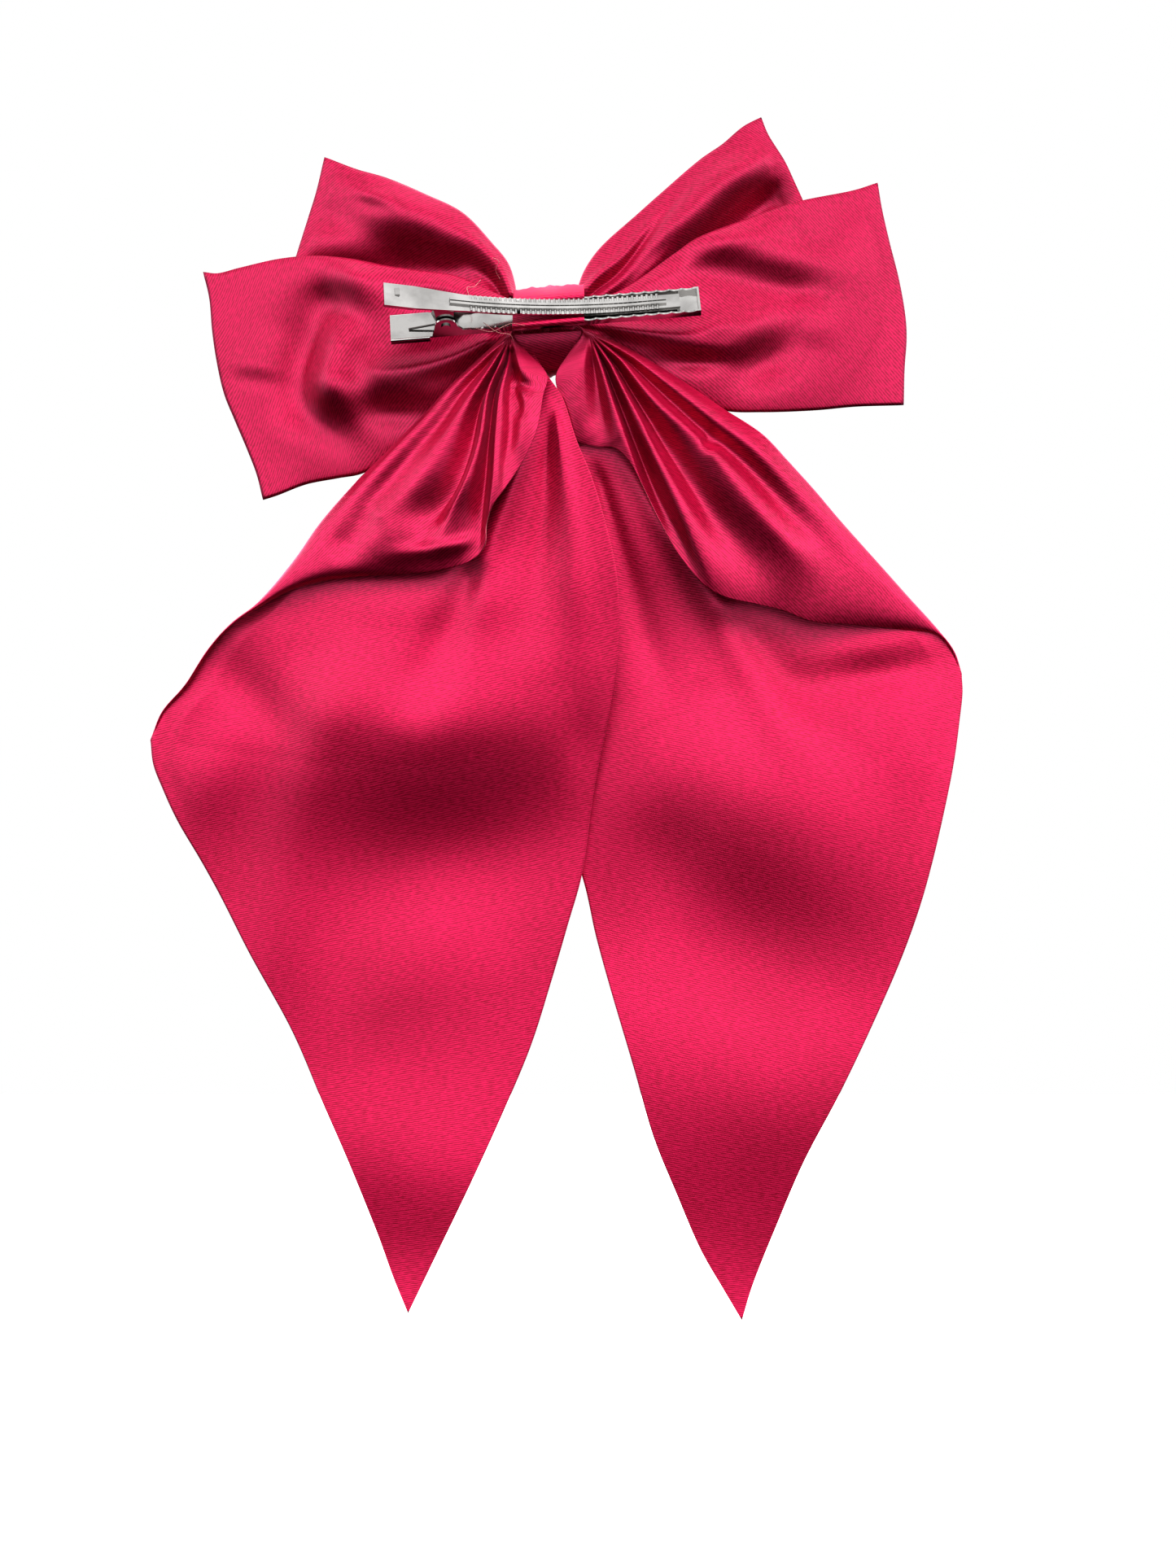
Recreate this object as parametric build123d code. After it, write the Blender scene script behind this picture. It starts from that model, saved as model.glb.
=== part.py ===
"""Hair bow: two pinched satin bow layers, a long-tail ribbon, a centre band and an alligator clip.

Millimetres. The bow hangs as it is worn: +Z is up, the show side faces -Y and the clip faces +Y.
The origin is the middle of the hair grip, where the clip's two jaws hold the hair.
The fabric pieces are plain closed solids; the clip has its real sheet-metal shape.
"""

from build123d import *
import math
import os

os.makedirs("parts", exist_ok=True)

# ---------------------------------------------------------------- driving dimensions
# clip, in its own frame: x along the jaws with 0 at the hinge pin and + towards the thumb end,
# y across the jaws, z from the base jaw to the lever jaw with 0 at the top of the base's side walls
SHEET = 0.5  # thickness of the stamped steel
PIN_TO_THUMB = 13.7
PIN_TO_TIP = 61.7
PIN_TO_GRIP = 24.4
CLIP_TILT = 4.7  # degrees, the tip end higher than the thumb end
CLIP_ROLL = 26.0  # degrees, the lever jaw turned up
PIN_HEIGHT = 1.7
PIN_RADIUS = 0.75
RUNNING_GAP = 0.05
BASE_WIDTH = 7.2
BASE_DEPTH = 1.5  # from the floor of the channel to the top of its side walls
TAB_WIDTH = 8.0
TAB_START = 4.2
EAR_RADIUS = 2.7
SCALLOP_PITCH = 3.04
SCALLOP_DEPTH = 0.4
LEVER_TIP = -56.8
LEVER_ARC_START = -46.0
LEVER_ARC_RADIUS = 150.0
LEVER_ARC_END = 0.0
LEVER_WIDTH = 4.8
LEVER_THUMB_WIDTH = 6.6
LEVER_SKIRT = 1.1
RIB_PITCH = 1.18
RIB_RADIUS = 0.3
WIRE = 0.5  # torsion spring wire
COIL_RADIUS = 1.5
COIL_TURNS = 4

# knot
BAND_WIDTH = 17.4
BAND_MIDDLE = -0.5  # where the middle of the band's width lies along the clip
BAND_DEPTH = 12.1  # half of the band's outer size, front to back
BAND_RISE = 9.9  # half of the band's outer size, top to bottom
BAND_WALL = 0.9
BAND_AT_CLIP = 0.3  # one ply of satin over the base jaw
KNOT_Y = -14.5
KNOT_Z = -0.5
SPLIT = 0.15  # half of the gap between the left and right half of one ribbon


# ---------------------------------------------------------------- clip
tilt = math.radians(CLIP_TILT)
roll = math.radians(CLIP_ROLL)
along = Vector(math.cos(tilt), 0, -math.sin(tilt))
upward = Vector(math.sin(tilt), 0, math.cos(tilt))
opening = Vector(0, 1, 0) * math.cos(roll) + upward * math.sin(roll)
clip_frame = Plane(origin=(0, 0, 0), x_dir=along, z_dir=opening)
clip_place = clip_frame.location * Pos(PIN_TO_GRIP, 0, 0)


def across(face, low, high):
    """The face, drawn in the clip's x-z plane, made solid from y = low to y = high."""
    return Pos(0, low, 0) * extrude(face, amount=high - low, dir=(0, 1, 0))


def plate(points, low, high):
    """A flat plate across the clip, from its outline as (x, z) points."""
    outline = Wire.make_polygon([(x, 0, z) for x, z in points], close=True)
    return across(Face(outline), low, high)


def rod(x, z, radius, low, high):
    """A round bar across the clip at (x, z)."""
    bar = Cylinder(radius, high - low, rotation=(90, 0, 0))
    return Pos(x, (low + high) / 2, z) * bar


def block(x0, x1, y0, y1, z0, z1):
    """A box between opposite corners."""
    middle = Pos((x0 + x1) / 2, (y0 + y1) / 2, (z0 + z1) / 2)
    return middle * Box(x1 - x0, y1 - y0, z1 - z0)


# base jaw: a channel with scalloped side walls, two ears for the pin and a curled thumb tab
half = BASE_WIDTH / 2
floor_top = -BASE_DEPTH
floor_low = floor_top - SHEET
base_jaw = block(-PIN_TO_TIP, TAB_START, -half, half, floor_low, floor_top)
walls = block(-PIN_TO_TIP, TAB_START - 1.2, -half, half, floor_top, 0)
walls -= block(-PIN_TO_TIP + SHEET, TAB_START, -half + SHEET, half - SHEET, floor_top, 0)
scallop_radius = (SCALLOP_PITCH**2 / 4 + SCALLOP_DEPTH**2) / (2 * SCALLOP_DEPTH)
scallops = []
scallop_x = -PIN_TO_TIP + 2.6
while scallop_x < -EAR_RADIUS - 2.4:
    centre_z = scallop_radius - SCALLOP_DEPTH
    scallops.append(rod(scallop_x, centre_z, scallop_radius, -half - 1, half + 1))
    scallop_x += SCALLOP_PITCH
base_jaw += walls - scallops
for side in (-1, 1):
    outer = side * half
    inner = side * (half - SHEET)
    low, high = min(outer, inner), max(outer, inner)
    ear = rod(0, PIN_HEIGHT, EAR_RADIUS, low, high)
    foot = [(-5.2, floor_top), (-EAR_RADIUS, PIN_HEIGHT), (EAR_RADIUS, PIN_HEIGHT), (3.6, floor_top)]
    base_jaw += ear + plate(foot, low, high)
tab = block(TAB_START, PIN_TO_THUMB, -TAB_WIDTH / 2, TAB_WIDTH / 2, floor_low, floor_top)
tab_wall = block(TAB_START, PIN_TO_THUMB, -TAB_WIDTH / 2, TAB_WIDTH / 2, floor_low - 0.9, floor_low)
tab_wall -= block(TAB_START - 1, PIN_TO_THUMB - SHEET, -TAB_WIDTH / 2 + SHEET, TAB_WIDTH / 2 - SHEET,
                  floor_low - 1, floor_low)
tab = fillet((tab + tab_wall).edges().filter_by(Axis.X).group_by(Axis.Z)[-1], 0.45)
base_jaw += tab
base_jaw -= rod(0, PIN_HEIGHT, PIN_RADIUS, -half - 1, half + 1)


# lever jaw: a straight tip, one long arc and a straight thumb plate
arc_angle = math.asin((LEVER_ARC_END - LEVER_ARC_START) / LEVER_ARC_RADIUS)


def lever_point(x, drop):
    """The point at station x of the lever, a distance drop below its upper face."""
    if x <= LEVER_ARC_START:
        return Vector(x, 0, -drop)
    angle = min(math.asin((x - LEVER_ARC_START) / LEVER_ARC_RADIUS), arc_angle)
    reach = LEVER_ARC_RADIUS + drop
    point = Vector(LEVER_ARC_START + reach * math.sin(angle), 0, LEVER_ARC_RADIUS - reach * math.cos(angle))
    if x > LEVER_ARC_END:
        past = (x - LEVER_ARC_END) / math.cos(arc_angle)
        point += Vector(math.cos(arc_angle), 0, math.sin(arc_angle)) * past
    return point


def lever_edges(x0, x1, drop):
    """The lever's side curve between two stations, as straight and round edges."""
    stops = [x0] + [s for s in (LEVER_ARC_START, LEVER_ARC_END) if x0 < s < x1] + [x1]
    edges = []
    for a, b in zip(stops, stops[1:]):
        start, end = lever_point(a, drop), lever_point(b, drop)
        if LEVER_ARC_START <= a and b <= LEVER_ARC_END:
            edges.append(Edge.make_three_point_arc(start, lever_point((a + b) / 2, drop), end))
        else:
            edges.append(Edge.make_line(start, end))
    return edges


def lever_strip(x0, x1, top, bottom, low, high):
    """A strip that follows the lever from x0 to x1, between two depths and two sides."""
    ends = [
        Edge.make_line(lever_point(x0, top), lever_point(x0, bottom)),
        Edge.make_line(lever_point(x1, top), lever_point(x1, bottom)),
    ]
    outline = Wire(lever_edges(x0, x1, top) + lever_edges(x0, x1, bottom) + ends)
    return across(Face(outline), low, high)


lever_half = LEVER_WIDTH / 2
thumb_half = LEVER_THUMB_WIDTH / 2
shoulder = -1.5  # where the wide thumb plate begins to narrow
plate_top = lever_strip(LEVER_TIP, PIN_TO_THUMB, 0, SHEET, -thumb_half, thumb_half)
outline = Polyline(
    (PIN_TO_THUMB + 4, -thumb_half),
    (PIN_TO_THUMB + 4, thumb_half),
    (shoulder + 8, thumb_half),
    (shoulder - 4, lever_half),
    (LEVER_TIP - 1, lever_half - 0.5),
    (LEVER_TIP - 1, -lever_half + 0.5),
    (shoulder - 4, -lever_half),
    (shoulder + 8, -thumb_half),
    close=True,
)
plan = Pos(0, 0, -5) * extrude(make_face(outline), amount=30)
lever_jaw = plate_top & plan
skirt_start, skirt_end = LEVER_TIP + 0.4, shoulder - 4
for side in (-1, 1):
    low = min(side * (lever_half - 0.5), side * (lever_half - 1.0))
    lever_jaw += lever_strip(skirt_start, skirt_end, SHEET / 2, LEVER_SKIRT, low, low + 0.5)
    low = min(side * thumb_half, side * (thumb_half - SHEET))
    lever_jaw += lever_strip(shoulder + 8.5, PIN_TO_THUMB, SHEET / 2, 0.9, low, low + SHEET)
lever_jaw += block(LEVER_TIP + 0.2, LEVER_TIP + 0.7, -1.8, 1.8, floor_top + 0.02, -SHEET / 2)
lever_jaw -= block(-48, -41, -0.9, 0.9, -3, 3)
ridge_start, ridge_end = -53.5, shoulder
for side in (-1, 1):
    low = min(side * 0.18, side * 0.85)
    lever_jaw += lever_strip(ridge_start, ridge_end, -0.55, SHEET / 2, low, low + 0.67)
ribs = []
rib_x = shoulder - 5
while rib_x > -52:
    spot = lever_point(rib_x, 0)
    ribs.append(rod(rib_x, spot.Z, RIB_RADIUS, -lever_half + 0.12, lever_half - 0.12))
    rib_x -= RIB_PITCH
lever_jaw += ribs
emboss = lever_point(10.6, 0)
lever_jaw += Pos(emboss.X, -0.9, emboss.Z) * Box(1.1, 2.0, 0.7)
ear_out = half - SHEET - 0.35
for side in (-1, 1):
    low = min(side * ear_out, side * (ear_out - SHEET))
    crown = [lever_point(-2.4, SHEET / 2), lever_point(2.4, SHEET / 2)]
    cheek = [(p.X, p.Z) for p in crown] + [(1.9, PIN_HEIGHT), (-1.9, PIN_HEIGHT)]
    lever_jaw += plate(cheek, low, low + SHEET) + rod(0, PIN_HEIGHT, 1.9, low, low + SHEET)
lever_jaw -= rod(0, PIN_HEIGHT, PIN_RADIUS + RUNNING_GAP, -half, half)

# hinge pin: a rivet with a domed head at each end, pressed into the base jaw's ears
hinge_pin = rod(0, PIN_HEIGHT, PIN_RADIUS, -half - 0.1, half + 0.1)
for side in (-1, 1):
    low = min(side * (half + 0.02), side * (half + 0.42))
    head = rod(0, PIN_HEIGHT, 1.15, low, low + 0.4)
    hinge_pin += head

# torsion spring: a close coil on the pin with a leg under each thumb plate
coil_height = COIL_TURNS * (WIRE + 0.06)
coil_path = Helix(pitch=WIRE + 0.06, height=coil_height, radius=COIL_RADIUS)
start_plane = Plane(origin=coil_path @ 0, z_dir=coil_path % 0)
coil = sweep(start_plane * Circle(WIRE / 2), path=coil_path, is_frenet=True)
coil = Pos(0, coil_height / 2, PIN_HEIGHT) * Rot(90, 0, 0) * coil
leg_low = Vector(0.2, coil_height / 2, PIN_HEIGHT - COIL_RADIUS)
leg_low_end = Vector(9.2, coil_height / 2, floor_top + WIRE / 2 + 0.05)
leg_high = Vector(0.2, -coil_height / 2, PIN_HEIGHT + COIL_RADIUS)
under = lever_point(9.2, SHEET + WIRE / 2 + 0.08)
leg_high_end = Vector(under.X, -coil_height / 2, under.Z)
torsion_spring = coil
for start, end in ((leg_low, leg_low_end), (leg_high, leg_high_end)):
    leg = Plane(origin=start, z_dir=end - start) * Cylinder(
        WIRE / 2, (end - start).length, align=(Align.CENTER, Align.CENTER, Align.MIN)
    )
    torsion_spring += leg

# glue pad: the flat drop of hot-melt glue between the base jaw and the gathered ribbon
glue_pad = block(-31, -18, -2.8, 2.8, floor_low - 0.75, floor_low - 0.02)
glue_pad = fillet(glue_pad.edges().filter_by(Axis.Z), 2.0)

# ---------------------------------------------------------------- knot
# the centre band: a ring round the gathered fabric that also runs through the base jaw's channel
knot_u = KNOT_Y * math.sin(roll) - KNOT_Z * math.cos(roll)
knot_w = KNOT_Y * math.cos(roll) + KNOT_Z * math.sin(roll)


def knot_oval(inset):
    """The band's oval, in the clip's y-z plane, made smaller by inset."""
    oval = Ellipse(BAND_DEPTH - inset, BAND_RISE - inset)
    return Pos(knot_u, knot_w) * Rot(0, 0, 90 - CLIP_ROLL) * oval


def saddle(gap):
    """The band's outline over the base jaw, gap outside the steel."""
    reach = half + gap
    around = Pos(0, (gap - 9) / 2) * Rectangle(2 * reach, 9 + gap)
    notch_half = half - SHEET - gap
    notch = Pos(0, 5 + floor_top + gap) * Rectangle(2 * notch_half, 10)
    return around - notch


band_face = (knot_oval(0) + saddle(0.05 + BAND_AT_CLIP)) - (knot_oval(BAND_WALL) + saddle(0.05))
cross = Plane(origin=(BAND_MIDDLE - BAND_WIDTH / 2 - PIN_TO_GRIP, 0, 0), x_dir=(0, 1, 0), z_dir=(1, 0, 0))
centre_band = extrude(cross * band_face, amount=BAND_WIDTH)


def thread_turns(y0, y1, z0, z1, corner, count):
    """Turns of thread round a gathered stack, each a slim rounded ring about the X axis."""
    turns = []
    size_y, size_z = y1 - y0, z1 - z0
    for k in range(count):
        x = (k - (count - 1) / 2) * 0.62 - 0.22
        section = Plane(origin=(x, (y0 + y1) / 2, (z0 + z1) / 2), x_dir=(0, 1, 0), z_dir=(1, 0, 0))
        ring = RectangleRounded(size_y, size_z, corner)
        ring -= RectangleRounded(size_y - 0.8, size_z - 0.8, corner - 0.4)
        turns.append(extrude(section * ring, amount=0.44))
    return Compound(children=turns)


layer_binding = thread_turns(-23.75, -9.65, -7.1, 6.1, 3.2, 3)
tail_binding = thread_turns(-9.35, -4.35, -4.2, 2.9, 0.5, 2)


# ---------------------------------------------------------------- bow layers
def loop_half(sections):
    """One half of a pinched bow layer, from lens-shaped sections.

    Each section is its upper and its lower edge as (x, z), its middle depth y, the thickness in
    its middle and the thickness at its edges.
    """
    faces = []
    for upper, lower, y, thick, rim in sections:
        middle = ((upper[0] + lower[0]) / 2, (upper[1] + lower[1]) / 2)
        back = [(upper, rim), (middle, thick), (lower, rim)]
        points = [(p[0], y + t / 2, p[1]) for p, t in back]
        points += [(p[0], y - t / 2, p[1]) for p, t in reversed(back)]
        faces.append(Face(Wire.make_polygon(points, close=True)))
    return loft(faces, ruled=True)


KNOT_END = 8.9
upper_loop_left = loop_half([
    ((SPLIT, 5.0), (SPLIT, -6.0), -19.6, 6.6, 3.2),
    ((KNOT_END, 5.0), (KNOT_END, -6.0), -19.6, 6.6, 3.2),
    ((22.0, 26.5), (27.0, -8.0), -21.0, 8.0, 2.6),
    ((39.6, 34.5), (50.0, -13.0), -21.5, 8.0, 2.4),
    ((54.6, 39.2), (70.6, -15.0), -21.5, 3.0, 1.8),
])
upper_loop_right = loop_half([
    ((-SPLIT, 5.0), (-SPLIT, -6.0), -19.6, 6.6, 3.2),
    ((-KNOT_END, 5.0), (-KNOT_END, -6.0), -19.6, 6.6, 3.2),
    ((-18.0, 22.5), (-28.0, -7.0), -21.0, 8.0, 2.6),
    ((-37.9, 39.1), (-54.0, -5.0), -21.5, 8.0, 2.4),
    ((-52.6, 49.0), (-78.0, -2.0), -21.5, 3.0, 1.8),
])
lower_loop_left = loop_half([
    ((SPLIT, 5.0), (SPLIT, -6.0), -12.9, 5.2, 3.4),
    ((KNOT_END, 5.0), (KNOT_END, -6.0), -12.9, 5.2, 3.4),
    ((25.0, 11.0), (25.0, -22.0), -13.0, 6.6, 2.6),
    ((50.0, 14.8), (47.0, -38.2), -13.2, 6.8, 2.4),
    ((84.4, 11.0), (69.7, -44.7), -13.2, 3.0, 1.8),
])
lower_loop_right = loop_half([
    ((-SPLIT, 5.0), (-SPLIT, -6.0), -12.9, 5.2, 3.4),
    ((-KNOT_END, 5.0), (-KNOT_END, -6.0), -12.9, 5.2, 3.4),
    ((-26.0, 12.5), (-25.0, -17.0), -13.0, 6.6, 2.6),
    ((-54.8, 26.4), (-52.9, -23.1), -13.2, 6.8, 2.4),
    ((-81.2, 32.9), (-87.6, -21.4), -13.2, 3.0, 1.8),
])


# ---------------------------------------------------------------- tails
def tail_half(side, stations):
    """One tail, with the stub that runs through the knot.

    Each station is its height z, then its outer edge, middle and inner edge as
    (x, front y, back y).
    """
    faces = []
    for z, outer, middle, inner in stations:
        edge = [outer, middle, inner]
        points = [(x, back, z) for x, front, back in edge]
        points += [(x, front, z) for x, front, back in reversed(edge)]
        faces.append(Face(Wire.make_polygon(points, close=True)))
    x0, x1 = sorted((side * SPLIT, side * 11.5))
    stub = block(x0, x1, -8.9, -4.8, -3.7, 2.4)
    x0, x1 = sorted((side * 10.8, side * 16.0))
    turn = block(x0, x1, -8.9, -4.8, stations[0][0] - 0.5, 2.4)
    return loft(faces, ruled=True) + stub + turn


tail_left = tail_half(1, [
    (-11.2, (17.0, -8.9, -4.8), (9.0, -8.9, -4.0), (0.3, -8.7, -4.8)),
    (-25.0, (31.0, -9.0, -4.0), (14.0, -9.0, -0.5), (-4.5, -7.2, -4.0)),
    (-38.0, (45.0, -9.2, -4.0), (17.0, -9.2, 0.5), (-10.5, -4.5, -2.0)),
    (-60.0, (62.0, -13.0, -7.0), (25.0, -11.0, 0.0), (-16.8, -6.0, -3.0)),
    (-76.0, (79.0, -17.0, -11.0), (31.0, -15.0, -8.0), (-17.7, -10.0, -7.5)),
    (-104.0, (97.3, -21.0, -18.0), (42.0, -17.5, -14.5), (-14.2, -16.0, -13.0)),
    (-142.0, (80.2, -22.5, -20.0), (38.0, -20.5, -18.0), (-7.2, -19.0, -16.5)),
    (-190.0, (56.2, -22.5, -20.5), (32.5, -21.5, -19.5), (8.7, -21.0, -19.0)),
    (-242.5, (35.4, -22.5, -21.0), (34.2, -22.5, -21.0), (33.2, -22.5, -21.0)),
])
tail_right = tail_half(-1, [
    (-11.2, (-17.0, -8.9, -4.8), (-9.0, -8.9, -4.0), (-0.3, -8.9, -4.8)),
    (-23.0, (-44.0, -9.0, -5.0), (-20.0, -9.0, -1.0), (-4.4, -10.8, -8.6)),
    (-38.0, (-61.8, -11.0, -6.0), (-30.0, -11.0, -2.0), (4.0, -12.4, -10.2)),
    (-60.0, (-81.2, -14.0, -8.0), (-34.0, -14.0, -3.0), (8.0, -15.0, -12.8)),
    (-77.0, (-96.4, -17.0, -11.0), (-42.0, -16.0, -8.0), (9.0, -18.0, -15.8)),
    (-92.0, (-102.3, -20.0, -17.0), (-46.0, -18.0, -14.5), (6.0, -20.0, -17.8)),
    (-137.0, (-93.2, -22.5, -20.0), (-51.0, -21.5, -19.0), (-8.7, -22.5, -20.2)),
    (-190.0, (-71.8, -22.5, -20.5), (-47.5, -22.0, -20.0), (-23.0, -22.5, -20.5)),
    (-245.0, (-49.4, -22.5, -21.0), (-48.2, -22.5, -21.0), (-47.2, -22.5, -21.0)),
])

# ---------------------------------------------------------------- files
pieces = {
    "upper_loop_left": upper_loop_left,
    "upper_loop_right": upper_loop_right,
    "lower_loop_left": lower_loop_left,
    "lower_loop_right": lower_loop_right,
    "tail_left": tail_left,
    "tail_right": tail_right,
    "layer_binding": layer_binding,
    "tail_binding": tail_binding,
    "centre_band": clip_place * centre_band,
    "glue_pad": clip_place * glue_pad,
    "clip_base_jaw": clip_place * base_jaw,
    "clip_lever_jaw": clip_place * lever_jaw,
    "clip_hinge_pin": clip_place * hinge_pin,
    "clip_torsion_spring": clip_place * torsion_spring,
}
for name, piece in pieces.items():
    export_step(piece, f"parts/{name}.step")
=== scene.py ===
"""Looks of the satin hair bow: thin cloth for every fabric piece, materials, light and camera.

Control points are in millimetres, in the row frame: x across, y towards the head, z up. Points of
an outline that lies at a known depth are given as they look from the camera and put in place by
as_seen().
"""
import math

import bpy
import numpy as np
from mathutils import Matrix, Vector


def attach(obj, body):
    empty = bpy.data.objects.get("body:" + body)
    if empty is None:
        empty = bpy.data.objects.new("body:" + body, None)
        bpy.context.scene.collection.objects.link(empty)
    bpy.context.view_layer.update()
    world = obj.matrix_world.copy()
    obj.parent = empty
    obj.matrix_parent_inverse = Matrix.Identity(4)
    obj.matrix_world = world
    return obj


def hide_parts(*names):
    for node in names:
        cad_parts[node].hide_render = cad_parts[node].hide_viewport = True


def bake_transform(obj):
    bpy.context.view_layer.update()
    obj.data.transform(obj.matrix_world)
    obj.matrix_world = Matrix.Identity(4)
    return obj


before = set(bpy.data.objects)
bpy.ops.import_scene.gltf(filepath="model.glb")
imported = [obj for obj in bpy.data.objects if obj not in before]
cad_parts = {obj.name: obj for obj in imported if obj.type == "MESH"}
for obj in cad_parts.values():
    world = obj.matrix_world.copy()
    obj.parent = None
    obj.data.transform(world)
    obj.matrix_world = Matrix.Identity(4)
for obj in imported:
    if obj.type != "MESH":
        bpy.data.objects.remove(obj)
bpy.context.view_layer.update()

MM = 0.001

# ---------------------------------------------------------------- view
CAMERA_Y = 550.0
OUTLINE_Y = -8.0  # the upright plane on which outlines are measured
VIEW_X, VIEW_Z = -10.1, -114.6  # where the camera's line of sight meets that plane
FRAME_HEIGHT = 385.4  # how much of that plane the picture shows, top to bottom
CLOTH = 0.22  # thickness of one ply of satin
BAND_CLOTH, BAND_WIDTH = 0.26, 17.4  # of the strip round the knot, as it lies
STRAND_SIDES, STRAND_RADIUS = 6, 0.07  # of a loose thread
FLOOR_REACH, FLOOR_LEVEL = 3.0, -0.6  # metres
GLOSS_STRENGTH = 4.4  # of the banded sky that only shiny surfaces mirror
PICTURE_GAMMA = 0.76


def as_seen(x, z, y):
    """The point at depth y that looks to be at (x, z) on the outline plane."""
    grow = (CAMERA_Y - y) / (CAMERA_Y - OUTLINE_Y)
    return (VIEW_X + (x - VIEW_X) * grow, y, VIEW_Z + (z - VIEW_Z) * grow)


# ---------------------------------------------------------------- curves and fields
def smooth_curve(points, count):
    """count points, evenly spaced by length, on a smooth curve through the given points."""
    p = np.array(points, float)
    if len(p) == 2:
        return p[0] + (p[1] - p[0]) * np.linspace(0, 1, count)[:, None]
    step = np.linalg.norm(np.diff(p, axis=0), axis=1) ** 0.5
    knots = np.concatenate([[0], np.cumsum(step)])
    slope = np.diff(p, axis=0) / step[:, None]
    tangent = np.empty_like(p)
    tangent[1:-1] = (slope[1:] * step[:-1, None] + slope[:-1] * step[1:, None])
    tangent[1:-1] /= (step[1:] + step[:-1])[:, None]
    tangent[0], tangent[-1] = slope[0], slope[-1]
    t = np.linspace(0, knots[-1], 60 * len(p))
    k = np.clip(np.searchsorted(knots, t, side="right") - 1, 0, len(p) - 2)
    h = step[k][:, None]
    u = ((t - knots[k]) / step[k])[:, None]
    fine = (2 * u**3 - 3 * u**2 + 1) * p[k] + (u**3 - 2 * u**2 + u) * h * tangent[k]
    fine += (-2 * u**3 + 3 * u**2) * p[k + 1] + (u**3 - u**2) * h * tangent[k + 1]
    length = np.concatenate([[0], np.cumsum(np.linalg.norm(np.diff(fine, axis=0), axis=1))])
    wanted = np.linspace(0, 1, count) * length[-1]
    return np.stack([np.interp(wanted, length, fine[:, i]) for i in range(p.shape[1])], axis=1)


def seen_curve(points, count):
    """A smooth curve through points given as (x, z, y) the way they look from the camera."""
    return smooth_curve([as_seen(*p) for p in points], count)


def smoothstep(low, high, value):
    t = np.clip((value - low) / (high - low), 0, 1)
    return t * t * (3 - 2 * t)


def crease(route, height, width, start=0.0, end=0.25):
    """A ridge (height > 0) or valley along a route of (x, z) points.

    width is its half width at the start and at the end. start and end are the shares of the
    length over which it fades in and out.
    """
    return dict(route=route, height=height, width=width, start=start, end=end)


def dent(x, z, height, long, short, angle=0.0):
    """A soft oval hill (height > 0) or hollow, with its long axis at an angle in degrees."""
    return dict(x=x, z=z, height=height, long=long, short=short, angle=math.radians(angle))


def slope(x, z, drop, wide, high, angle=0.0):
    """A soft oval that leans: a rise on its upper long side, a hollow on the lower one."""
    return dent(x, z, drop, wide, high, angle) | dict(lean=True)


def nearest(route, x, z):
    """For each point (x, z): where along the route the nearest spot is, and how far away."""
    place = np.zeros_like(x)
    away = np.full_like(x, np.inf)
    for k in range(len(route) - 1):
        step = route[k + 1] - route[k]
        t = ((x - route[k, 0]) * step[0] + (z - route[k, 1]) * step[1]) / (step @ step)
        t = np.clip(t, 0, 1)
        gap = np.hypot(x - route[k, 0] - t * step[0], z - route[k, 1] - t * step[1])
        closer = gap < away
        away = np.where(closer, gap, away)
        place = np.where(closer, k + t, place)
    return place, away


def relief(x, z, shapes):
    """The sum of the creases and dents at the points (x, z)."""
    total = np.zeros_like(x)
    for s in shapes:
        if "route" in s:
            route = smooth_curve([as_seen(px, pz, OUTLINE_Y)[::2] for px, pz in s["route"]], 60)
            near, away = nearest(route, x.ravel(), z.ravel())
            share = near / (len(route) - 1)
            width = s["width"][0] + (s["width"][1] - s["width"][0]) * share
            fade = smoothstep(0, s["start"], share) if s["start"] else 1.0
            fade = fade * (1 - smoothstep(1 - s["end"], 1, share)) if s["end"] else fade
            part = s["height"] * fade * np.exp(-((away / width) ** 2))
            total += part.reshape(x.shape)
        else:
            px, _, pz = as_seen(s["x"], s["z"], OUTLINE_Y)
            c, n = math.cos(s["angle"]), math.sin(s["angle"])
            u = ((x - px) * c + (z - pz) * n) / s["long"]
            v = (-(x - px) * n + (z - pz) * c) / s["short"]
            total += s["height"] * np.exp(-(u * u + v * v)) * (2.3 * v if "lean" in s else 1)
    return total


def fan(x, z, apex, lines):
    """Pleats that spread from one point. lines are (height, route) pairs, in order round it."""
    ax, _, az = as_seen(apex[0], apex[1], OUTLINE_Y)
    reach = np.hypot(x - ax, z - az)
    angle = np.arctan2(z - az, x - ax)
    total, before = np.zeros_like(x), None
    for height, route in lines:
        line = smooth_curve([as_seen(px, pz, OUTLINE_Y)[::2] for px, pz in route], 60)
        far = np.hypot(line[:, 0] - ax, line[:, 1] - az)
        turn = np.interp(reach, far, np.arctan2(line[:, 1] - az, line[:, 0] - ax))
        fade = 1 - smoothstep(0.8 * far[-1], 1.3 * far[-1], reach)
        grown = height * smoothstep(1, 9, reach) * fade
        if before is not None:
            share = smoothstep(0, 1, (angle - before[1]) / (turn - before[1]))
            total += (grown - before[0]) * share
        before = (grown, turn)
    return total


# ---------------------------------------------------------------- meshes
def length_map(grid):
    """Texture coordinates of a grid of points, in millimetres along the cloth."""
    along = np.linalg.norm(np.diff(grid, axis=0), axis=2)
    across = np.linalg.norm(np.diff(grid, axis=1), axis=2)
    v = np.zeros(grid.shape[:2])
    u = np.zeros(grid.shape[:2])
    v[1:] = np.cumsum(along, axis=0).mean(1)[:, None]
    u[:, 1:] = np.cumsum(across, axis=1)
    return u, v


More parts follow.
